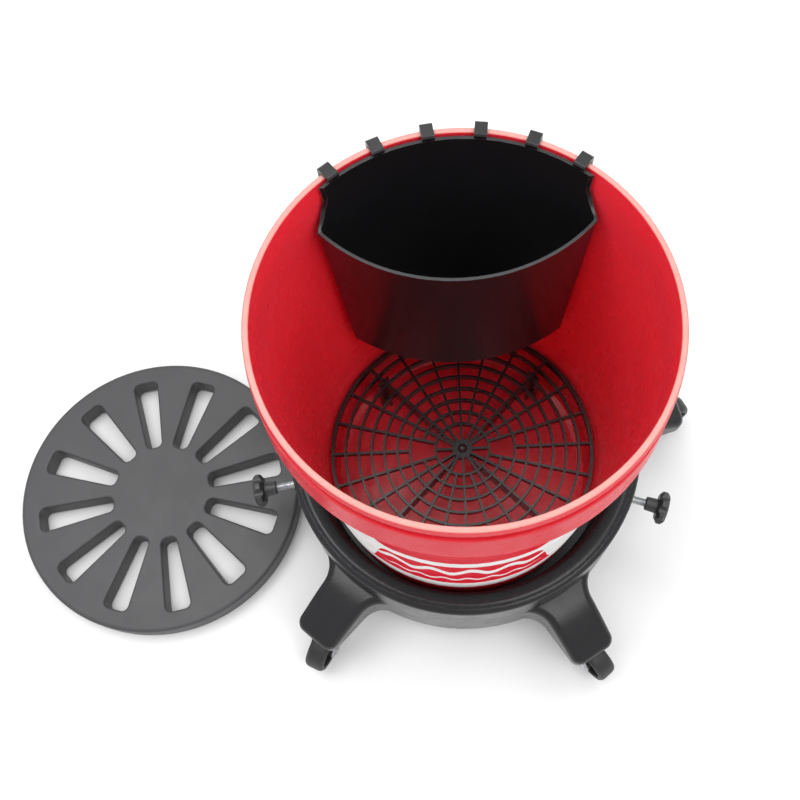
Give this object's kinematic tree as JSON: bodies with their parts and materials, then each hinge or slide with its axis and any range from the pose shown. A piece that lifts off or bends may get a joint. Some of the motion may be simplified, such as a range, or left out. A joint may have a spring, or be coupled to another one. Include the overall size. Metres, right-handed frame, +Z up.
{
  "type": "wash bucket",
  "caption": "Round wash pail clamped in a swivel-caster dolly, with a grit guard, a hanging caddy on the rim and a slotted seat lid on the floor beside it.",
  "frame": {"origin": "the pail's axis where it meets the ground", "axes": "+Z up, +X to the right with the lid on the -X side, the caddy hangs on the +Y side of the rim"},
  "size_m": [0.7411, 0.4859, 0.4614],
  "materials": {
    "pail_red": "semi-gloss moulded polyethylene",
    "dolly_black": "glossy moulded plastic",
    "caddy_black": "semi-gloss moulded plastic",
    "guard_black": "satin moulded plastic",
    "lid_grey": "matte moulded plastic with a light grain",
    "knob_black": "satin moulded plastic",
    "wheel_black": "satin solid tread",
    "zinc_steel": "bright zinc plate",
    "pad_rubber": "matte rubber",
    "insert_brass": "plain brass"
  },
  "bodies": {
    "dolly": {"dolly_frame": "dolly_black", "caster_stem_1": "zinc_steel", "caster_stem_2": "zinc_steel", "caster_stem_3": "zinc_steel", "caster_stem_4": "zinc_steel", "caster_stem_5": "zinc_steel", "clamp_insert_right": "insert_brass", "clamp_insert_rear": "insert_brass", "clamp_insert_left": "insert_brass"},
    "swivel_1": {"caster_fork_1": "zinc_steel", "caster_axle_1": "zinc_steel"},
    "roller_1": {"caster_wheel_1": "wheel_black"},
    "swivel_2": {"caster_fork_2": "zinc_steel", "caster_axle_2": "zinc_steel"},
    "roller_2": {"caster_wheel_2": "wheel_black"},
    "swivel_3": {"caster_fork_3": "zinc_steel", "caster_axle_3": "zinc_steel"},
    "roller_3": {"caster_wheel_3": "wheel_black"},
    "swivel_4": {"caster_fork_4": "zinc_steel", "caster_axle_4": "zinc_steel"},
    "roller_4": {"caster_wheel_4": "wheel_black"},
    "swivel_5": {"caster_fork_5": "zinc_steel", "caster_axle_5": "zinc_steel"},
    "roller_5": {"caster_wheel_5": "wheel_black"},
    "pad_right": {"clamp_foot_right": "pad_rubber"},
    "screw_right": {"clamp_rod_right": "zinc_steel", "clamp_knob_right": "knob_black"},
    "pad_rear": {"clamp_foot_rear": "pad_rubber"},
    "screw_rear": {"clamp_rod_rear": "zinc_steel", "clamp_knob_rear": "knob_black"},
    "pad_left": {"clamp_foot_left": "pad_rubber"},
    "screw_left": {"clamp_rod_left": "zinc_steel", "clamp_knob_left": "knob_black"},
    "pail": {"pail": "pail_red"},
    "guard": {"grit_guard": "guard_black"},
    "caddy": {"caddy": "caddy_black"},
    "lid": {"lid": "lid_grey"}
  },
  "joints": [
    {"name": "caster_swivel_1", "type": "hinge", "parent": "dolly", "child": "swivel_1", "pos_m": [0.1219, -0.16633, 0.057], "axis": [0, 0, 1], "continuous": true},
    {"name": "wheel_roll_1", "type": "hinge", "parent": "swivel_1", "child": "roller_1", "pos_m": [0.13699, -0.18368, 0.026], "axis": [0.7547, 0.6561, 0], "continuous": true},
    {"name": "caster_swivel_2", "type": "hinge", "parent": "dolly", "child": "swivel_2", "pos_m": [0.21124, 0.07136, 0.057], "axis": [0, 0, 1], "continuous": true},
    {"name": "wheel_roll_2", "type": "hinge", "parent": "swivel_2", "child": "roller_2", "pos_m": [0.23116, 0.08286, 0.026], "axis": [-0.5, 0.866, 0], "continuous": true},
    {"name": "caster_swivel_3", "type": "hinge", "parent": "dolly", "child": "swivel_3", "pos_m": [0.0128, 0.22978, 0.057], "axis": [0, 0, 1], "continuous": true},
    {"name": "wheel_roll_3", "type": "hinge", "parent": "swivel_3", "child": "roller_3", "pos_m": [0.00493, 0.25139, 0.026], "axis": [-0.9397, -0.342, 0], "continuous": true},
    {"name": "caster_swivel_4", "type": "hinge", "parent": "dolly", "child": "swivel_4", "pos_m": [-0.19919, 0.09, 0.057], "axis": [0, 0, 1], "range_deg": [-90, 90]},
    {"name": "wheel_roll_4", "type": "hinge", "parent": "swivel_4", "child": "roller_4", "pos_m": [-0.18107, 0.10416, 0.026], "axis": [-0.6157, 0.788, 0], "continuous": true},
    {"name": "caster_swivel_5", "type": "hinge", "parent": "dolly", "child": "swivel_5", "pos_m": [-0.13176, -0.15481, 0.057], "axis": [0, 0, 1], "continuous": true},
    {"name": "wheel_roll_5", "type": "hinge", "parent": "swivel_5", "child": "roller_5", "pos_m": [-0.14111, -0.17582, 0.026], "axis": [0.9135, -0.4067, 0], "continuous": true},
    {"name": "clamp_travel_right", "type": "slide", "parent": "dolly", "child": "pad_right", "axis": [0.9613, -0.2756, 0], "range_m": [0, 0.0042]},
    {"name": "clamp_turn_right", "type": "hinge", "parent": "pad_right", "child": "screw_right", "pos_m": [0.18564, -0.03837, 0.101], "axis": [0.9613, -0.2756, 0], "range_deg": [0, 1080]},
    {"name": "clamp_travel_rear", "type": "slide", "parent": "dolly", "child": "pad_rear", "axis": [0.6157, 0.788, 0], "range_m": [0, 0.0042]},
    {"name": "clamp_turn_rear", "type": "hinge", "parent": "pad_rear", "child": "screw_rear", "pos_m": [0.11998, 0.16372, 0.101], "axis": [0.6157, 0.788, 0], "range_deg": [0, 1080]},
    {"name": "clamp_travel_left", "type": "slide", "parent": "dolly", "child": "pad_left", "axis": [-0.9781, -0.2079, 0], "range_m": [0, 0.0042]},
    {"name": "clamp_turn_left", "type": "hinge", "parent": "pad_left", "child": "screw_left", "pos_m": [-0.18285, -0.0255, 0.101], "axis": [-0.9781, -0.2079, 0], "range_deg": [0, 1080]},
    {"name": "pail_lift", "type": "slide", "parent": "dolly", "child": "pail", "axis": [0, 0, 1], "range_m": [0, 0.35]},
    {"name": "guard_lift", "type": "slide", "parent": "pail", "child": "guard", "axis": [0, 0, 1], "range_m": [0, 0.075]},
    {"name": "caddy_lift", "type": "slide", "parent": "pail", "child": "caddy", "axis": [0, 0, 1], "range_m": [0, 0.25]},
    {"name": "lid_lift", "type": "slide", "parent": "dolly", "child": "lid", "axis": [-0.8489, -0.1997, 0.4894], "range_m": [0, 0.25]}
  ],
  "couplings": [
    {"joint": "clamp_turn_right", "follows": "clamp_travel_right", "rad_per_m": 4453},
    {"joint": "clamp_turn_rear", "follows": "clamp_travel_rear", "rad_per_m": 4453},
    {"joint": "clamp_turn_left", "follows": "clamp_travel_left", "rad_per_m": 4453}
  ]
}
